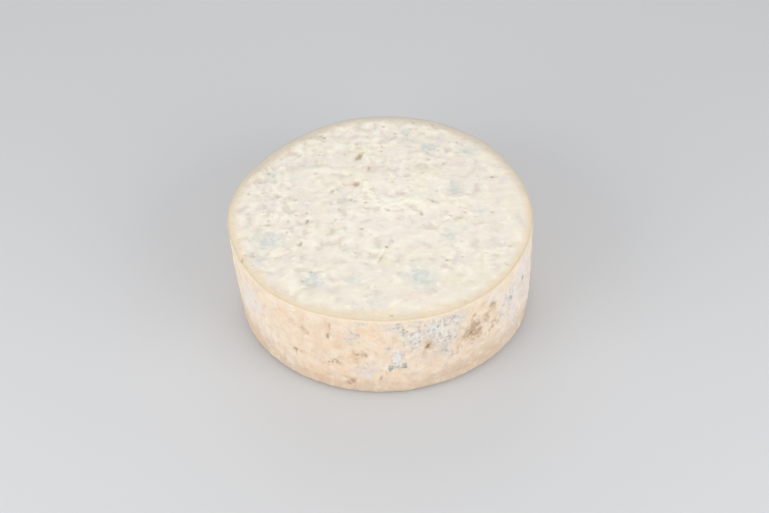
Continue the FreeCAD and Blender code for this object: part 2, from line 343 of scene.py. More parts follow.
print("middle of an opening, mm:", opening_depth(zero, zero, [(0, 0, 9, 9, 0, 2)], zero))

# %% Strokes
STROKE_EDGE = 1.6  # share of the half width where a stroke ends
STROKE_WOBBLE = 1.1
STROKE_LEAST = 0.5  # mm, the least half width


def stroke_field(u, v, strokes, wobble):
    """The height of the strokes at each place in mm: round across, and ragged along the edge."""
    height = np.zeros(len(u))
    for tall, width, path in strokes:
        nearest = np.full(len(u), FAR)
        for (u_0, v_0), (u_1, v_1) in zip(path[:-1], path[1:]):
            span = np.array((u_1 - u_0, v_1 - v_0))
            share = np.clip(((u - u_0) * span[0] + (v - v_0) * span[1]) / (span @ span), 0, 1)
            away = np.hypot(u - u_0 - share * span[0], v - v_0 - share * span[1])
            nearest = np.minimum(nearest, away)
        half = np.maximum(width / 2 * (1 + STROKE_WOBBLE * wobble), STROKE_LEAST)
        height = np.maximum(height, tall * ramp(STROKE_EDGE, 0.0, nearest / half))
    return height


print("middle of a stroke, mm:", stroke_field(zero, zero, [(1, 9, ((0, 0), (9, 0)))], zero))

# %% Tiny openings by chance
STREWN_WIDTHS = (0.5, 0.9)  # shares of the length
STREWN_DEPTH = 0.45  # share of the width


def strew(count, spread_u, spread_v, sizes):
    """Small openings at chance places: centre, length, width, direction and depth."""
    places = []
    for _ in range(count):
        length = dice.uniform(*sizes)
        width = length * dice.uniform(*STREWN_WIDTHS)
        places.append((dice.uniform(*spread_u), dice.uniform(*spread_v), length, width,
                       dice.uniform(0, 180), STREWN_DEPTH * width))
    return places


# How many, the spread along both ways, and the least and greatest length, in mm.
TINY = (420, (-130, 130), (-130, 130), (2.2, 4.2))
FRECKLES = (300, (-440, 440), (12, 96), (1.8, 4.0))
print(TINY[0], "tiny openings,", FRECKLES[0], "freckles of the rind")

# %% [markdown]
# ## Relief of the cut face
# Each kind of unevenness has its own size. Where the paste is whole, the wire has drawn it into low
# streaks about twice as long as wide. Where it is torn, mostly on the left and at the back, it is
# lumpy, as wide as long. Dabs stand up with a soft edge, and folds run between skins of paste. All of
# it is at most about a millimetre high, and only openings go deeper. The same relief gives a field for
# the colour: painted shade greys what is low, and painted light makes what is high paler.

# %% Sizes of the relief
# Noise: size in mm, for all axes or along X, Y and Z, then octaves and shift.
FLAT_NOISE = {"wobble": (2.8, 2, 5.7), "ragged": (7, 3, 51), "folded": (30, 1, 35),
              "veil": (2.6, 2, 57), "smear": (6, 2, 63), "chips": (5, 2, 61)}
# The same for what follows the wire, whose way wavered.
BENT_NOISE = {"torn": (44, 2, 9.9), "drawn": ((18, 10, 9), 3, 21),
              "lumps": ((8.5, 9, 9), 2, 41), "folds": ((22, 12, 9), 2, 31),
              "dabs": ((13, 11, 9), 3, 37)}
WAVER_NOISE = (34, 2, 3.1)
# Heights and depths in mm. Drawn and lumpy paste have one for whole and one for torn paste.
FACE_MM = {"waver": 4.0, "drawn": (0.26, 0.20), "lumps": (0.17, 0.65), "dabs": 0.26, "folds": 0.25,
           "pocket": 0.5, "veil": 0.3, "chips": 0.45, "chip_width": 2.4, "bare_rim": 4.0}
# Where each share starts and where it is full, in mm or in noise.
FACE_STEPS = {"rim": (1.5, 8), "torn": (-0.45, 0.5), "calm": (0, 0.7), "folded": (0, 0.5),
              "folds": (0.11, 0), "dabs": (0.15, 0.75), "pocket": (0.1, 0.8), "tiny": (0.15, 0.6),
              "cream": (0.1, 0.9), "far_edge_shade": (-30, 80)}
TORN_LEFT, TORN_BACK = 400.0, 900.0  # mm over which the paste gets more torn by one
FACE_RAGGED = 0.35  # how far noise moves the edge of a patch
SMEAR_RAGGED, SMEAR_UNEVEN = 0.6, 0.7
RIM_SHARE = 0.35  # of the relief, left at the very rim
print(1 + len(FLAT_NOISE) + len(BENT_NOISE), "kinds of unevenness")

# %% The face's height, and the fields for its colours
# Painted shadow lines: seams are painted darker than openings of their depth.
SEAM_SHADOW = 1.8  # times as dark as an opening of its depth
DAB_CREAM = 0.5
# Shares of the folds and of the fine relief in the painted shade and light of the relief.
FOLDS_IN_RELIEF_SHADE, FINE_IN_RELIEF_SHADE = 0.7, 2.2  # shares in what looks low
FACE_TONES = {"pale_and_painted_light": PALE_AND_PAINTED_LIGHT, "pink": PINKS, "lilac": LILACS, "straw": STRAWS}


def relieve_face(x, y, rim):
    """The relief of the cut face in mm, and the fields for its colours."""
    flat = np.stack([x, y, np.zeros_like(x)], axis=1)
    waver = FACE_MM["waver"] * roughen(flat, *WAVER_NOISE)
    bent = flat + np.stack([waver, waver, 0 * waver], axis=1)
    noise = {name: roughen(flat, *row) for name, row in FLAT_NOISE.items()}
    noise |= {name: roughen(bent, *row) for name, row in BENT_NOISE.items()}
    wobble, ragged = noise["wobble"], FACE_RAGGED * noise["ragged"]
    inside = ramp(*FACE_STEPS["rim"], rim)
    dabs = ramp(*FACE_STEPS["dabs"], noise["dabs"]) * inside
    torn = ramp(*FACE_STEPS["torn"], noise["torn"] - x / TORN_LEFT + y / TORN_BACK) * inside
    torn *= 1 - ramp(*FACE_STEPS["calm"], patch_field(x, y, CALM) + ragged)
    folds = ramp(*FACE_STEPS["folded"], noise["folded"])
    folds *= ramp(*FACE_STEPS["folds"], np.abs(noise["folds"]))
    pocket = np.where(rim < FACE_MM["bare_rim"], -1, patch_field(x, y, POCKETS) + ragged)
    pocket = np.clip(pocket, -1, 1)
    sunk = ramp(*FACE_STEPS["pocket"], pocket)
    sunk *= FACE_MM["pocket"] + FACE_MM["veil"] * noise["veil"]
    holes = opening_depth(x, y, OPENINGS, wobble)
    tiny = opening_depth(x, y, strew(*TINY), wobble) * ramp(*FACE_STEPS["tiny"], torn)
    smear = stroke_field(x, y, SMEARS, SMEAR_RAGGED * wobble + ragged)
    smear *= 1 + SMEAR_UNEVEN * noise["smear"]
    seam = stroke_field(x, y, SEAMS, wobble)
    chips = FACE_MM["chips"] * ramp(FACE_MM["chip_width"], 0.0, rim) * (1 + noise["chips"])
    fine = sum(np.interp(torn, (0, 1), FACE_MM[name]) * noise[name] for name in ("drawn", "lumps"))
    height = partly(RIM_SHARE, inside) * fine + FACE_MM["dabs"] * dabs + smear
    height -= FACE_MM["folds"] * folds * inside + sunk + holes + seam + tiny + chips
    band = 1 - rim / np.interp(np.degrees(np.arctan2(y, x)), BAND_TURNS, BAND_WIDTHS)
    fields = {
        "rim": rim,
        "band": band,
        # Painted shade: the band greys towards the far edge.
        "far_edge_shade": band * ramp(*FACE_STEPS["far_edge_shade"], y),
        "mould": pocket,
        # The openings' brown, darker in the deeper ones as painted shade, and the painted shadow lines
        # of the seams.
        "opening_brown_and_shade": np.maximum(holes, tiny) + SEAM_SHADOW * seam,
        "cream": np.maximum(ramp(*FACE_STEPS["cream"], smear), DAB_CREAM * dabs),
        # Painted shade where the relief is low, and painted light where it is high.
        "low": np.clip(FOLDS_IN_RELIEF_SHADE * folds - FINE_IN_RELIEF_SHADE * fine, -1, 1) * inside,
    }
    fields |= {name: patch_field(x, y, patches) + ragged for name, patches in FACE_TONES.items()}
    return height, fields


# %% [markdown]
# ## What lies on the rind
# The rind is tan to peach where it is bare, and mottled with other moulds: soft grey fur with white and
# blue-grey grains, lilac-grey bloom, brown stains, and small cracks where it dried and shrank. Its foot
# is darker with painted shade near the floor. The marks of one side are listed, by direction in
# degrees and height in mm, and the rest of the round gets the same kinds by chance.

# %% Cracks and stains
# Cracks: direction, height, length, width, slant and depth.
CRACKS = [
    (-48.2, 79.5, 6, 3.6, 60, 1.9), (-50.5, 71, 6, 3, 40, 0.9), (-55, 66, 9, 5.2, 45, 1.7),
    (-58.4, 58, 8.5, 4.2, 65, 1.7), (-52, 47.6, 5, 3, 30, 1), (-75.8, 61, 7, 4.6, 80, 1.8),
    (-111, 87, 10, 2.4, 86, 1.3), (-111.9, 73.5, 11, 3.2, 86, 1.6), (-110.6, 93, 5, 1.8, 80, 0.7),
    (-126.5, 40.5, 6, 3.6, -10, 1.2), (-122.5, 43, 6, 1.8, 25, 0.8), (-120.4, 74, 5, 3, 0, 0.6),
    (-110.5, 42, 7, 3.4, 50, 1.1), (-99.7, 55, 7, 4.6, 10, 0.8), (-103.4, 17, 7, 4.6, 50, 1.2),
    (-93, 24, 11, 2.4, 88, 1.4), (-88.8, 37, 4, 3.4, 60, 1.1), (-84.6, 38, 4, 3.4, 100, 1.2),
    (-62, 66, 5, 2.6, 30, 1), (-44, 66, 5, 2.6, 70, 0.9), (-137, 60, 5, 2.4, 20, 0.7),
    (-32, 30, 8, 3.4, 35, 1.2), (-66, 45, 5, 2.2, 60, 0.8), (-71.5, 50, 4, 2.4, 80, 0.8),
]
# Brown stains: direction, height, half width, half height and strength, as in the lists below.
STAINS = [
    (-57.5, 62.5, 14, 17, 0.97), (-48.4, 79, 6, 6, 0.7), (-126, 41.5, 7, 5, 0.8),
    (-99.7, 54.5, 9, 8, 0.65), (-75.5, 64, 6, 12, 1.1), (-70, 54, 5, 9, 0.9), (-103.4, 17, 8, 6, 0.8),
    (-110, 42, 7, 6, 0.5), (-47, 56, 9, 10, 0.8), (-59, 77, 8, 9, 0.45), (-120.4, 74, 6, 6, 0.4),
    (-63, 48, 9, 8, 0.3), (-51, 47, 7, 6, 0.5), (-52, 70, 9, 8, 0.6), (-36, 24, 10, 6, 0.5),
]
print(len(CRACKS), "cracks,", len(STAINS), "stains")

# %% Fur and blue mould
# Grey fur.
FUR = [
    (-73, 84, 19, 18, 1.1), (-80.5, 78, 11, 19, 0.95), (-69, 68, 14, 14, 0.9), (-66, 90, 12, 10, 0.9),
    (-86.6, 50, 6.5, 14, 1.5), (-80, 73, 5, 8, 1.3), (-97.5, 38, 9, 9, 0.45), (-102.5, 80, 7, 9, 0.4),
    (-69, 55, 11, 11, 0.6), (-90, 66, 6, 10, 0.5), (-41, 48, 12, 12, 0.5), (-38, 70, 14, 18, 0.5),
    (-99, 98, 9, 6, 0.5), (-87, 92, 7, 12, 0.6), (-34, 26, 18, 14, 0.5), (-25, 60, 12, 26, 0.45),
]
# Blue-grey mould in the fur.
BLUE = [
    (-89.2, 39, 4, 6.5, 1.1), (-84, 40, 4, 7, 1.1), (-74, 82, 9, 8, 0.5), (-81, 74, 6, 8, 0.5),
    (-68, 88, 7, 7, 0.5), (-102, 78, 5, 6, 0.3), (-84, 87, 4, 13, 0.65), (-38, 70, 9, 14, 0.6),
    (-28, 66, 10, 20, 0.5), (-68, 54, 8, 9, 0.5),
]
print(len(FUR), "patches of fur,", len(BLUE), "of blue mould")

# %% Bloom, peach and the damp foot
# Lilac-grey bloom.
BLOOM = [
    (-147, 70, 14, 22, 1), (-155, 56, 14, 26, 0.9), (-31, 76, 18, 24, 1), (-22, 60, 16, 28, 0.9),
    (-98, 30, 9, 9, 0.7), (-67, 38, 16, 12, 0.4), (-36, 66, 14, 22, 1.1), (-48, 88, 9, 12, 0.7),
    (-142, 34, 12, 14, 0.4), (-34, 40, 14, 14, 0.6), (-43, 70, 8, 14, 0.8), (-27, 84, 14, 16, 1.1),
    (-24, 34, 14, 20, 0.8),
]
# Peach, where the rind is bare and moist: more orange than the rest.
# The patches at -66 and -46 degrees, low on the right, make the flank darker there towards the floor.
PEACH = [
    (-114, 62, 20, 24, 0.7), (-98, 84, 16, 13, 0.8), (-92, 66, 16, 14, 0.7), (-108, 34, 24, 16, 0.8),
    (-88, 28, 14, 10, 0.7), (-128, 60, 14, 16, 0.5), (-62, 34, 10, 10, 0.5), (-120, 88, 9, 8, 0.5),
    (-116, 23, 19, 9, 1), (-99, 20, 12, 7, 0.8), (-66, 22, 20, 8, 0.8), (-56, 90, 10, 10, 0.8),
    (-106, 84, 10, 10, 0.8), (-124, 42, 12, 18, 0.6), (-131, 30, 14, 12, 0.5), (-104, 48, 14, 12, 0.8),
    (-70, 42, 14, 10, 0.7), (-67, 58, 12, 12, 0.6), (-46, 17, 20, 9, 1), (-118, 55, 12, 14, 0.5),
    (-129, 82, 12, 13, 0.6),
]
# Painted shade near the floor: patches where the dark tone of the foot reaches higher.
FOOT_SHADE_PATCHES = [
    (-44, 24, 52, 28, 1), (-152, 26, 34, 26, 1), (-102, 12, 12, 8, 0.6), (62, 22, 50, 18, 0.8),
    (136, 26, 44, 20, 0.9),
]
print(len(BLOOM), "patches of bloom,", len(PEACH), "of peach")

# %% Marks by chance on the far side
BACK = (-8.0, 190.0)  # directions
BACK_HEIGHTS = (14, 92)
BACK_SHAPES = (0.7, 1.2)  # height of a patch, as a share of its width
STAIN_CRACK = (0.8, 0.4, 2.2)  # a stain's crack: length, width and depth


def scatter(places, count, half_sizes, strengths):
    """Adds chance patches to a list, where no listed one reaches."""
    for _ in range(count):
        half = dice.uniform(*half_sizes)
        places.append((dice.uniform(*BACK), dice.uniform(*BACK_HEIGHTS), half,
                       half * dice.uniform(*BACK_SHAPES), dice.uniform(*strengths)))


stains_by_hand = len(STAINS)
scatter(FUR, 14, (6, 15), (0.55, 1.0))
scatter(BLUE, 9, (4, 9), (0.5, 1.0))
scatter(BLOOM, 12, (10, 20), (0.5, 1.0))
scatter(PEACH, 14, (10, 22), (0.5, 0.8))
scatter(STAINS, 16, (6, 13), (0.5, 1.0))
for direction, height, half_u, half_v, strength in STAINS[stains_by_hand:]:
    CRACKS.append((direction, height, STAIN_CRACK[0] * half_u, STAIN_CRACK[1] * half_v,
                   dice.uniform(0, 180), STAIN_CRACK[2] * strength))
print(len(CRACKS), "cracks,", len(FUR), "patches of fur,", len(STAINS), "stains in all")

# %% [markdown]
# ## Relief of the rind
# A rind is lumpy where the hoop and the cloth pressed it, and grainy all over, where it dried. Fur
# stands on it in tiny tufts, cracks cut in, and above the foot runs a shallow crease, where the cheese
# settled. Directions become lengths along the round, so that a patch has its true width.

# %% Patches and openings on the round
MEAN_RADIUS = rim_radii.mean()


def along_round(direction, turn):
    """The way in mm along the round from a direction in degrees to a turn in radians."""
    apart = turn - math.radians(direction)
    return MEAN_RADIUS * ((apart + np.pi) % (2 * np.pi) - np.pi)


def on_round(measure, turn, height, marks, empty, *wobble):
    """The greatest value at each point that a measure gives for marks on the round."""
    greatest = np.full(len(turn), empty)
    for direction, *mark in marks:
        own = measure(along_round(direction, turn), height, [(0.0, *mark)], *wobble)
        greatest = np.maximum(greatest, own)
    return greatest


print("a quarter of the round, mm:", along_round(0, np.pi / 2).round(1))

# %% Sizes of the rind's relief
# Noise: size in mm, octaves and shift.
RIND_NOISE = {"wobble": (3, 2, 4.4), "ragged": (7, 3, 8.8), "crease_rise": (40, 2, 71),
              "crease_parts": (70, 2, 75), "lumps": (24, 2, 81), "knobs": (8, 2, 85),
              "grain": (3.2, 2, 89), "tufts": (2.8, 2, 95)}
# Heights, depths and, for the crease, its place and half width, in mm.
RIND_MM = {"lumps": 0.7, "knobs": 0.3, "grain": 0.2, "fur": 0.3, "tufts": 0.45, "crease": 0.3,
           "stain": 0.3, "foot_shade_reach": 14.0, "crease_height": 15.0, "crease_rise": 2.5, "crease_half": 4.5}
# Where each share starts and is full.
RIND_STEPS = {"foot": (2, 12), "fur": (0.1, 0.7), "crease": (-0.5, 0.5), "stain": (0.2, 0.9),
              "foot_shade_reach": (-0.4, 0.6)}
# The patches, and how ragged their edges are.
RIND_PATCHES = {"fur": (FUR, 1.0), "blue": (BLUE, 1.0), "bloom": (BLOOM, 0.8), "peach": (PEACH, 1.0),
                "stain": (STAINS, 1.2), "foot_shade_reach": (FOOT_SHADE_PATCHES, 1.0)}
RIND_RAGGED = 0.45
FOOT_SHARE = 0.35  # of the lumps, left at the very foot
# Freckles sink into the rind, and their brown, darker with depth, is partly painted shade.
FRECKLE_DEPTH, FRECKLE_DARK = 0.8, 0.6
print(len(RIND_NOISE), "kinds of unevenness,", len(RIND_PATCHES), "of patch")

# %% The rind's height, and the fields for its colours
# Painted relief shade: how strongly the knobs and grain darken the low rind and lighten the high.
DIP_GAIN = 1.6
DIP_KNOBS = 0.5


def relieve_rind(points, turn):
    """The relief of the rind in mm, and the fields for its colours."""
    height = points[:, 2]
    noise = {name: roughen(points, *row) for name, row in RIND_NOISE.items()}
    ragged = RIND_RAGGED * noise["ragged"]
    fields = {name: on_round(patch_field, turn, height, patches, -1.0) + share * ragged
              for name, (patches, share) in RIND_PATCHES.items()}
    # Where the painted shade of the foot reaches higher.
    foot_shade_reach = ramp(*RIND_STEPS["foot_shade_reach"], fields.pop("foot_shade_reach"))
    cracks = on_round(opening_depth, turn, height, CRACKS, 0.0, noise["wobble"])
    freckles = opening_depth(along_round(0, turn), height, strew(*FRECKLES), noise["wobble"])
    crease_height = RIND_MM["crease_height"] + RIND_MM["crease_rise"] * noise["crease_rise"]
    crease = np.exp(-((height - crease_height) / RIND_MM["crease_half"]) ** 2)
    crease *= ramp(*RIND_STEPS["crease"], noise["crease_parts"])
    lumps = RIND_MM["lumps"] * noise["lumps"] + RIND_MM["knobs"] * noise["knobs"]
    grain = RIND_MM["grain"] * noise["grain"]
    tufts = ramp(*RIND_STEPS["fur"], fields["fur"])
    tufts *= RIND_MM["fur"] + RIND_MM["tufts"] * noise["tufts"]
    relief = partly(FOOT_SHARE, ramp(*RIND_STEPS["foot"], height)) * lumps + grain + tufts
    relief -= cracks + FRECKLE_DEPTH * freckles + RIND_MM["crease"] * crease
    relief -= RIND_MM["stain"] * ramp(*RIND_STEPS["stain"], fields["stain"])
    fields |= {
        # Brown of the cracks and freckles, darker deeper in as painted shade.
        "crack": np.maximum(cracks, FRECKLE_DARK * freckles),
        "crease": crease,
        # Painted shade where the knobs and grain are low, and painted light where they are high.
        "relief_shade_and_mottle": np.clip(-DIP_GAIN * (DIP_KNOBS * noise["knobs"] + grain), -1, 1),
        "rim": np.maximum(row_heights[0] - height, 0),
        # Painted shade near the floor, reaching higher in the shade patches.
        "foot": height - RIND_MM["foot_shade_reach"] * foot_shade_reach,
    }
    return relief, fields


# %% [markdown]
# ## One closed mesh
# The surface is a chain of rings: from the middle of the cut face out to its rim, down the flank, round
# the heel, and in again under the flat face. A ring may have any number of points, so that the face in
# view is fine and the underside coarser, and one function joins any two rings with triangles.

# %% Rings of the cut face, the flank and the flat face
FOOT_STEP = 2.6  # mm between the rings of the flat face


def ring_points(radii, turn, height):
    """The points of a ring from its radii, turns and height."""
    heights = np.broadcast_to(height, radii.shape)
    return np.stack([radii * np.cos(turn), radii * np.sin(turn), heights], axis=1)


def disc_ring(radii, ring, count):
    """The points of one ring of a level disc whose last ring, by number, has the given radii."""
    ring_turns = 2 * np.pi * np.arange(6 * ring) / (6 * ring)
    reach = np.interp(ring_turns, turns, radii, period=2 * np.pi)
    return ring_points(reach * ring / count, ring_turns, 0.0)


foot_radii = row_radii[-1]
foot_rings = round(foot_radii.mean() / FOOT_STEP)
centre = np.zeros((1, 3))
face_parts = [centre] + [disc_ring(rim_radii, ring, RINGS) for ring in range(1, RINGS + 1)]
rind_parts = [ring_points(radii, turns, height)
              for radii, height in zip(row_radii[1:], row_heights[1:])]
foot_parts = [disc_ring(foot_radii, ring, foot_rings) for ring in range(foot_rings - 1, 0, -1)]
rings = face_parts + rind_parts + foot_parts + [centre]
points = np.concatenate(rings)
face_count = sum(len(ring) for ring in face_parts)
rind_count = sum(len(ring) for ring in rind_parts)
print(len(rings), "rings,", len(points), "points")

# %% Triangles between rings
def join_rings(first_a, count_a, first_b, count_b):
    """Triangles between two rings that both run counter-clockwise from the same direction."""
    times = np.concatenate([(np.arange(count) + 0.5) / count for count in (count_a, count_b)])
    on_a = (np.arange(count_a + count_b) < count_a)[np.argsort(times, kind="stable")]
    done_a = np.cumsum(on_a) - on_a
    done_b = np.cumsum(~on_a) - ~on_a
    here_a, here_b = first_a + done_a % count_a, first_b + done_b % count_b
    next_a, next_b = first_a + (done_a + 1) % count_a, first_b + (done_b + 1) % count_b
    faces = np.stack([here_a, here_b, np.where(on_a, next_a, next_b)], axis=1)
    return faces[(count_a > 1) | ~on_a] if count_b > 1 else faces[on_a]


counts = [len(ring) for ring in rings]
firsts = np.cumsum([0] + counts[:-1])
triangles = np.concatenate([join_rings(*pair) for pair in zip(firsts, counts, firsts[1:], counts[1:])])
print(len(triangles), "triangles")

# %% [markdown]
# ## Move every point to its true place
# Points of the cut face move up or down. Points of the rind move square to its form, level on the flank
# and more and more downwards round the heel. The flat face keeps to the floor and is only hollowed
# upwards, so that the cheese rests as it does in the CAD. Rings of needle marks are left in it.

# %% Relief on the cut face
ABSENT = {"rim": 99.0, "foot": 99.0}  # mm, too far to have an effect
fields = {}


def keep_fields(part, values):
    """Stores the fields of one part of the points, and a value without effect elsewhere."""
    for name, value in values.items():
        whole = fields.setdefault(name, np.full(len(points), ABSENT.get(name, 0.0)))
        whole[part] = value


face = slice(0, face_count)
x, y = points[face, 0].copy(), points[face, 1].copy()
rim_distance = np.interp(np.arctan2(y, x), turns, rim_radii, period=2 * np.pi) - np.hypot(x, y)
face_relief, face_fields = relieve_face(x, y, rim_distance)
points[face, 2] = face_height(x, y) + face_relief
keep_fields(face, face_fields)
print("relief of the face, mm:", extent(face_relief))

# %% Relief on the rind
EDGE_DROP = 0.9  # mm from the rim of the paste down to the first row of the rind
FLAT_LEAN = 0.98  # past this lean a point keeps to the floor
rind = slice(face_count, face_count + rind_count)
edge_shift = points[face_count - ROUND:face_count, 2] - EDGE_DROP - row_heights[0]
flank = points[rind].reshape(-1, ROUND, 3)
flank[:, :, 2] += (flank[:, :, 2] / row_heights[0]) ** 2 * edge_shift
points[rind] = flank.reshape(-1, 3)
rind_turn = np.arctan2(points[rind, 1], points[rind, 0])
rind_relief, rind_fields = relieve_rind(points[rind], rind_turn)
lean = np.clip((HEEL_RADIUS - points[rind, 2]) / HEEL_RADIUS, 0, 1)
radial = np.sqrt(1 - lean ** 2)
points[rind, 0] += rind_relief * radial * np.cos(rind_turn)
points[rind, 1] += rind_relief * radial * np.sin(rind_turn)
points[rind, 2] = np.maximum(points[rind, 2] - lean * rind_relief * (lean < FLAT_LEAN), 0)
keep_fields(rind, rind_fields)
print("relief of the rind, mm:", extent(rind_relief))

# %% Needle marks in the flat face
NEEDLE_PITCH = 26.0  # mm between marks, and between their rings
NEEDLE_RINGS = 4
NEEDLE_RADIUS = 1.8
NEEDLE_DEPTH = 5.0
COLLAR = 1.5 * FOOT_STEP  # mm, within which points are drawn in to a mark's edge
UNDER_MARGIN = 14.0  # mm from the edge of the flat face, where it is fully hollowed
UNDER_HOLLOW, UNDER_UNEVEN = 0.5, 0.35
CLOTH_NOISE = ((16, 16, 9), 3, 101.0)


def edge_distance(places):
    """How far in mm each place on the flat face is from its edge."""
    return foot_radii.min() - np.hypot(places[:, 0], places[:, 1])


foot = slice(face_count + rind_count, len(points))
under = points[foot]
hollow = UNDER_HOLLOW + UNDER_UNEVEN * roughen(under, *CLOTH_NOISE)
under[:, 2] += ramp(0, UNDER_MARGIN, edge_distance(under)) * hollow
marked = np.zeros(len(under))
for ring in range(1, NEEDLE_RINGS + 1):
    for number in range(6 * ring):
        angle = 2 * np.pi * number / (6 * ring)
        mark = ring * NEEDLE_PITCH * np.array((math.cos(angle), math.sin(angle)))
        away = under[:, :2] - mark
        distance = np.hypot(*away.T)
        nearest = distance.argmin()
        collar = np.flatnonzero((distance < COLLAR) & (np.arange(len(under)) != nearest))
        under[collar, :2] = mark + away[collar] * (NEEDLE_RADIUS / distance[collar])[:, None]
        under[nearest] = (*mark, NEEDLE_DEPTH)
        marked[nearest] = 1
points[foot] = under
print("needle marks:", int(marked.sum()))

# %% Fields of the flat face
# Noise: size in mm, octaves and shift.
UNDER_NOISE = {"fur": (38, 3, 111), "bloom": (60, 3, 115), "peach": (50, 2, 117),
               "stain": (22, 3, 119), "relief_shade_and_mottle": (8, 2, 121)}
UNDER_BLOOM = 0.2  # more bloom than on the flank
UNDER_FOOT = 0.6  # share of the distance from the edge that counts as height
under_fields = {name: roughen(under, *row) for name, row in UNDER_NOISE.items()}
under_fields["bloom"] += UNDER_BLOOM
# Under the flat face this field is plain mottle from noise, not relief shade.
under_fields["relief_shade_and_mottle"] = np.clip(-DIP_GAIN * under_fields["relief_shade_and_mottle"], -1, 1)
# Needle marks painted dark, as painted shade in the holes.
under_fields["crack"] = NEEDLE_DEPTH * marked
# The painted shade of the foot also darkens the flat face near its edge.
under_fields["foot"] = UNDER_FOOT * edge_distance(under)
keep_fields(foot, under_fields)
print(len(fields), "fields:", ", ".join(fields))

# %% The mesh with its fields
def put_in_scene(name, data):
    """A new object of the scene, with this name and data."""
    thing = bpy.data.objects.new(name, data)
    bpy.context.scene.collection.objects.link(thing)
    return thing


mesh = bpy.data.meshes.new("half_wheel_of_blue_cheese")
mesh.from_pydata((points * MM).tolist(), [], triangles.tolist())
mesh.update()
mesh.shade_smooth()
for name, values in fields.items():
    mesh.attributes.new(name, "FLOAT", "POINT").data.foreach_set("value", values.astype(np.float32))
on_face = (triangles < face_count).all(axis=1)
mesh.polygons.foreach_set("material_index", np.where(on_face, 0, 1).astype(np.int32))
cheese = put_in_scene("blue_cheese", mesh)
sides = np.unique(np.sort(triangles[:, [0, 1, 1, 2, 2, 0]].reshape(-1, 2)), axis=0)
print(len(mesh.polygons), "triangles; closed:", 3 * len(triangles) == 2 * len(sides))

# %% [markdown]
# ## Materials: a helper and a table of layers
# Both materials are built in the same way: a ground colour that wanders between tones, and over it
# layers that each have a place, an edge broken up by fine grain, and a colour. So one function builds a
# material from a table. The grain may be drawn out upright. Colours are written as sRGB and turned to
# linear, which is what the shader adds and multiplies.

# %% Colours and nodes
def linear(hex_colour):
    """An sRGB hex colour as linear red, green, blue and alpha."""
    parts = [int(hex_colour[i:i + 2], 16) / 255 for i in (1, 3, 5)]
    return (*(p / 12.92 if p <= 0.04045 else ((p + 0.055) / 1.055) ** 2.4 for p in parts), 1.0)


def add(tree, kind, links=None, **settings):
    """Adds a node, sets its settings, and fills or links its sockets."""
    node = tree.nodes.new(kind)
    for name, value in settings.items():
        setattr(node, name, value)
    for socket, value in (links or {}).items():
        if isinstance(value, bpy.types.NodeSocket):
            tree.links.new(value, node.inputs[socket])
        else:
            node.inputs[socket].default_value = value
    return node


print("mid grey, linear:", round(linear("#808080")[0], 3))

# %% A material from its table
WANDER_DETAIL = 4.0  # octaves of the slow tones
GRAIN_DETAIL = 3.0  # octaves of the grain
# Sockets of a Mix node: factor, two numbers, two colours, and the colour that comes out.
FACTOR, NUMBERS, COLOURS, COLOUR_OUT = 0, (2, 3), (6, 7), 2


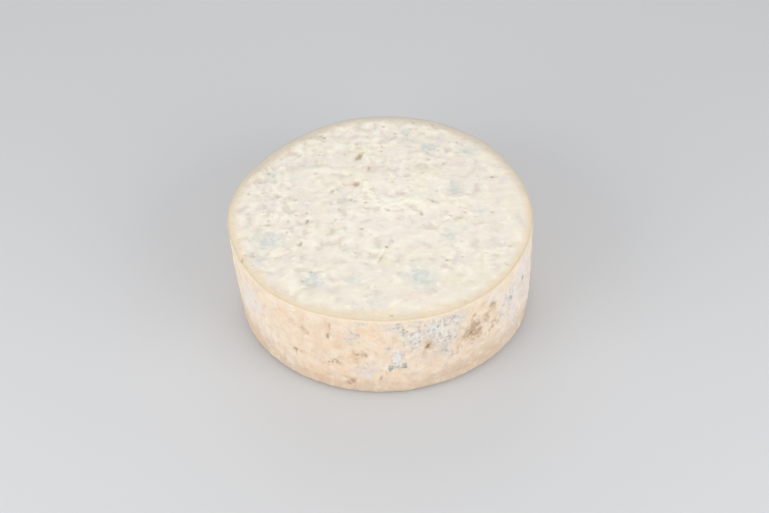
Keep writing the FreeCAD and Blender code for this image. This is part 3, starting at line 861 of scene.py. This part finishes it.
def make_material(name, tones, layers, finish):
    """A material from its ground tones, its layers and its finish."""
    material = bpy.data.materials.new(name)
    material.use_nodes = True
    tree = material.node_tree
    tree.nodes.clear()
    place = add(tree, "ShaderNodeTexCoord").outputs["Object"]
    colour = linear(tones["ground"])
    for hex_colour, size, start, full in tones["wander"]:
        scale = [1 / (MM * length) for length in size]
        spot = add(tree, "ShaderNodeVectorMath", {0: place, 1: scale}, operation="MULTIPLY")
        lumps = add(tree, "ShaderNodeTexNoise",
                    {"Vector": spot.outputs[0], "Scale": 1.0, "Detail": WANDER_DETAIL})
        part = add(tree, "ShaderNodeMapRange",
                   {"Value": lumps.outputs[0], "From Min": start, "From Max": full})
        mix = add(tree, "ShaderNodeMix", {FACTOR: part.outputs[0], COLOURS[0]: colour,
                                          COLOURS[1]: linear(hex_colour)}, data_type="RGBA")
        colour = mix.outputs[COLOUR_OUT]
    rough = finish["roughness"]
    upright = add(tree, "ShaderNodeVectorMath", {0: place, 1: (1.0, 1.0, 1 / finish["upright"])},
                  operation="MULTIPLY")
    for field, start, full, grain_size, grain, hex_colour, strength, layer_rough in layers:
        value = add(tree, "ShaderNodeAttribute", attribute_name=field).outputs["Fac"]
        lumps = add(tree, "ShaderNodeTexNoise", {
            "Vector": upright.outputs[0], "Scale": 1 / (MM * grain_size), "Detail": GRAIN_DETAIL})
        offset = add(tree, "ShaderNodeMath", {0: lumps.outputs[0], 1: -0.5}, operation="ADD")
        ragged = add(tree, "ShaderNodeMath", {0: offset.outputs[0], 1: 2 * grain, 2: value},
                     operation="MULTIPLY_ADD")
        part = add(tree, "ShaderNodeMapRange",
                   {"Value": ragged.outputs[0], "From Min": start, "From Max": full,
                    "To Max": strength}, interpolation_type="SMOOTHSTEP")
        mix = add(tree, "ShaderNodeMix", {FACTOR: part.outputs[0], COLOURS[0]: colour,
                                          COLOURS[1]: linear(hex_colour)}, data_type="RGBA")
        colour = mix.outputs[COLOUR_OUT]
        shine = add(tree, "ShaderNodeMix",
                    {FACTOR: part.outputs[0], NUMBERS[0]: rough, NUMBERS[1]: layer_rough})
        rough = shine.outputs[0]
    height = 0.0
    for size, depth in finish["bumps"]:
        lumps = add(tree, "ShaderNodeTexNoise",
                    {"Vector": place, "Scale": 1 / (MM * size), "Detail": GRAIN_DETAIL})
        raised = add(tree, "ShaderNodeMath", {0: lumps.outputs[0], 1: depth * MM, 2: height},
                     operation="MULTIPLY_ADD")
        height = raised.outputs[0]
    bump = add(tree, "ShaderNodeBump", {"Strength": 1.0, "Distance": 1.0, "Height": height})
    shader = add(tree, "ShaderNodeBsdfPrincipled", {
        "Base Color": colour, "Roughness": rough, "IOR": finish["ior"], "Normal": bump.outputs[0],
        "Subsurface Weight": finish["glow"], "Subsurface Radius": finish["glow_colour"],
        "Subsurface Scale": finish["glow_depth"] * MM})
    add(tree, "ShaderNodeOutputMaterial", {"Surface": shader.outputs[0]})
    print(name, "has", len(tree.nodes), "nodes")
    return material


print("octaves of tones and grain:", WANDER_DETAIL, GRAIN_DETAIL)

# %% [markdown]
# ## Paste: soft blue cheese, cut with a wire
# Fresh paste is fat, water and curd: it lets light a few millimetres in, and its moist cut surface has
# a dull gleam, near that of wax. To the eye that gives soft edges and hardly a highlight. The ground is
# ivory, and wanders to cream and grey. Over it lie straw, pink and lilac parts, a middle made paler
# with painted light, painted shade in the hollows and painted light on the crests, cream smears, the
# ripe tan band, the pockets, blue-green under a white veil, brown openings with painted shade in the
# deep ones and in the seams, the chipped rim, and painted shade along the far edge.

# %% Paste material
# Tones: colour, size in mm along X, Y and Z, and the noise at which it starts and is full.
PASTE_TONES = {
    "ground": "#F2EADB",
    "wander": (
        ("#F6EDDA", (30, 20, 9), 0.48, 0.70),
        ("#E9E2DA", (26, 18, 9), 0.52, 0.76),
    ),
}
# Each layer: field, value where it starts, value where it is full, grain in mm, how much the grain
# breaks its edge, colour, strength and roughness.
PASTE_LAYERS = (
    ("straw", 0, 1, 5, 0.6, "#EEE6CC", 0.7, 0.5),
    ("pink", 0, 1, 5, 0.6, "#F1DDCE", 0.8, 0.52),
    ("lilac", 0, 1, 5, 0.6, "#E4DCD7", 0.75, 0.55),
    # Painted light: the middle of the face made paler, and one more pale patch.
    ("pale_and_painted_light", 0, 1, 8, 0.6, "#FAF3E4", 0.6, 0.5),
    # Painted shade in the hollows, then painted light on the crests.
    ("low", 0, 1, 2.6, 0.3, "#D8CDBE", 0.55, 0.65),
    ("low", 0, -0.9, 3, 0.3, "#FFF8E9", 0.65, 0.48),
    ("cream", 0.05, 0.8, 2.5, 0.4, "#FFF8E4", 0.95, 0.45),
    ("band", -0.2, 0.9, 7, 0.6, "#E8D5B4", 0.75, 0.5),
    ("mould", -0.1, 0.9, 6, 0.6, "#DADED3", 0.65, 0.75),
    ("mould", 0.4, 1.1, 4, 1, "#C7CFCE", 0.5, 0.8),
    ("mould", 0.6, 1.4, 4.6, 2, "#F0F2EC", 0.4, 0.8),
    # Brown openings, with painted shade deeper in and along the seams.
    ("opening_brown_and_shade", 0.2, 2.4, 1.6, 0.3, "#B5A189", 0.8, 0.7),
    ("rim", 3, 0.4, 3, 1.6, "#DAC7A8", 0.6, 0.7),
    # Painted shade along the far edge.
    ("far_edge_shade", 0, 0.8, 6, 0.4, "#D0C9BC", 0.75, 0.6),
)
# Bumps are size and depth in mm: real crumb is near 0.3 mm, and is drawn coarser so that it shows.
# Glow is light that goes in: its share, how far red, green and blue go, and the depth in mm.
PASTE_FINISH = {"upright": 1.0, "roughness": 0.52, "ior": 1.45, "bumps": ((1.6, 0.22), (0.7, 0.09)),
                "glow": 0.35, "glow_colour": (1.0, 0.75, 0.5), "glow_depth": 3.0}
paste = make_material("soft_blue_cheese_paste_cut_with_a_wire", PASTE_TONES, PASTE_LAYERS, PASTE_FINISH)
cheese.data.materials.append(paste)

# %% [markdown]
# ## Rind: washed in brine, dried and grown over
# The rind is paste that salt and air have dried, stained tan by bacteria. It is dull and a little
# powdery, and lets hardly any light in, so that next to the paste it looks chalky. Over its ground lie
# peach, lilac-grey bloom, painted shade on the foot near the floor, painted shade in the dips and
# painted light on the grains, a deeper orange painted shade in the crease, brown stains with speckles
# in a soft halo, grey fur with white and dark grains, blue-grey mould, brown cracks with painted shade
# deeper in, and a pale line where the wire came through.

# %% Rind material
RIND_TONES = {
    "ground": "#F2DFC7",
    "wander": (
        ("#F7EBD8", (20, 20, 22), 0.48, 0.70),
        ("#EDD4B8", (14, 14, 16), 0.50, 0.76),
        ("#E9D8CB", (26, 26, 28), 0.52, 0.72),
    ),
}
RIND_LAYERS = (
    ("peach", 0, 1, 6, 0.8, "#F2D1AE", 0.55, 0.8),
    ("bloom", 0, 0.8, 6, 0.6, "#EAE1DB", 0.88, 0.9),
    # Painted shade: darker towards the floor.
    ("foot", 30, 6, 8, 14, "#D7C0A9", 0.75, 0.8),
    # Painted shade in the dips, then painted light on the grains.
    ("relief_shade_and_mottle", 0, 1, 3.2, 1, "#D8C2A9", 0.5, 0.8),
    ("relief_shade_and_mottle", 0, -1, 3.4, 1, "#FAF0DF", 0.5, 0.85),
    # Painted shade: deeper orange in the crease.
    ("crease", 0.1, 1.1, 6, 0.6, "#E4BA94", 0.4, 0.75),
    ("stain", -0.1, 1, 6, 0.7, "#D2B594", 0.6, 0.8),
    ("stain", 0.45, 1.3, 2.6, 2, "#B09274", 0.62, 0.8),
    ("fur", 0, 0.7, 4, 1, "#DDD4C9", 0.75, 0.95),
    ("fur", 0.35, 1.2, 3.4, 1.6, "#F3EDE4", 0.65, 0.95),
    ("fur", 0.7, 1.4, 3.2, 2.2, "#B4AAA4", 0.6, 0.95),
    ("fur", 0.95, 1.3, 5, 0.6, "#F1EFEB", 0.75, 0.95),
    ("blue", 0.4, 1.2, 3, 1.2, "#96A0A0", 0.8, 0.95),
    # Brown cracks and needle marks, darker deeper in as painted shade.
    ("crack", 0.2, 2.2, 1.8, 0.3, "#8A725A", 0.75, 0.8),
    ("rim", 5, 0, 3, 2.5, "#F0E0C6", 0.6, 0.8),
)
RIND_FINISH = {"upright": 1.3, "roughness": 0.82, "ior": 1.45, "bumps": ((2.2, 0.26), (0.8, 0.08)),
               "glow": 0.12, "glow_colour": (1.0, 0.6, 0.35), "glow_depth": 1.5}
crust = make_material("brine_washed_cheese_rind_dried_in_air", RIND_TONES, RIND_LAYERS, RIND_FINISH)
cheese.data.materials.append(crust)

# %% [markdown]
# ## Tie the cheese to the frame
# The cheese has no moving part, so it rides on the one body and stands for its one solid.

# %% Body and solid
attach(cheese, "root")
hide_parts("half_wheel")
print(cheese.name, "stands for half_wheel")

# %% [markdown]
# ## Floor, light and camera
# A pale floor without pattern lets the cheese speak. Two soft lamps stand low at the front corners, so
# that the flank is as bright as the cut face, a third fills the far side, and the pale world does the
# rest. Level and upright surfaces then show at about their written colours.

# %% Floor
HALF_FLOOR = 4.0  # m
FLOOR_ROUGHNESS = 0.9  # matt board
corners = [(HALF_FLOOR * x, HALF_FLOOR * y, 0) for x, y in ((-1, -1), (1, -1), (1, 1), (-1, 1))]
floor_mesh = bpy.data.meshes.new("floor")
floor_mesh.from_pydata(corners, [], [(0, 1, 2, 3)])
floor = put_in_scene("floor", floor_mesh)
floor_material = bpy.data.materials.new("pale_matt_board")
floor_material.use_nodes = True
floor_inputs = floor_material.node_tree.nodes["Principled BSDF"].inputs
floor_inputs["Base Color"].default_value = linear("#D3D4D5")
floor_inputs["Roughness"].default_value = FLOOR_ROUGHNESS
floor_mesh.materials.append(floor_material)
print("floor, m:", 2 * HALF_FLOOR)

# %% Lamps
# Name, azimuth and elevation in degrees, distance and size in m, and power in W.
LAMPS = (
    ("soft_left", -145, 26, 1.35, 0.9, 7.2),
    ("soft_right", -40, 26, 1.35, 0.9, 7.0),
    ("soft_back", 95, 40, 1.8, 1.2, 4.2),
)
middle = Vector((0.0, 0.0, high[2] / 2 * MM))
for name, azimuth, elevation, distance, size, power in LAMPS:
    lamp = bpy.data.lights.new(name, "AREA")
    lamp.size = size
    lamp.energy = power
    holder = put_in_scene(name, lamp)
    turn, rise = math.radians(azimuth), math.radians(elevation)
    away = Vector((math.cos(turn) * math.cos(rise), math.sin(turn) * math.cos(rise), math.sin(rise)))
    holder.location = middle + distance * away
    holder.rotation_euler = away.to_track_quat("Z", "Y").to_euler()
print("lamps, W:", [row[-1] for row in LAMPS])

# %% World
WORLD_STRENGTH = 0.66
world = bpy.data.worlds.new("pale_studio")
bpy.context.scene.world = world
world.use_nodes = True
world_inputs = world.node_tree.nodes["Background"].inputs
world_inputs["Color"].default_value = linear("#F4F4F6")
world_inputs["Strength"].default_value = WORLD_STRENGTH
bpy.context.scene.view_settings.view_transform = "Standard"
print("world strength:", WORLD_STRENGTH)

# %% Camera
LENS = 56.5  # mm
VIEW_RISE = math.radians(44.0)
VIEW_ROLL = math.radians(-2.2)
VIEW_DISTANCE = 1.15  # m
AIM_ASIDE, AIM_UP = -0.0002, -0.0069  # m, to centre the cheese in the view
camera_data = bpy.data.cameras.new("camera")
camera_data.lens = LENS
camera = put_in_scene("camera", camera_data)
back = Vector((0.0, -math.cos(VIEW_RISE), math.sin(VIEW_RISE)))
upward = Vector((0.0, math.sin(VIEW_RISE), math.cos(VIEW_RISE)))
camera.location = middle + VIEW_DISTANCE * back
aim = middle + Vector((AIM_ASIDE, 0.0, 0.0)) + AIM_UP * upward
level = (camera.location - aim).to_track_quat("Z", "Y").to_matrix()
camera.rotation_euler = (level @ Matrix.Rotation(VIEW_ROLL, 3, "Z")).to_euler()
bpy.context.scene.camera = camera
print("camera at, m:", [round(part, 3) for part in camera.location])
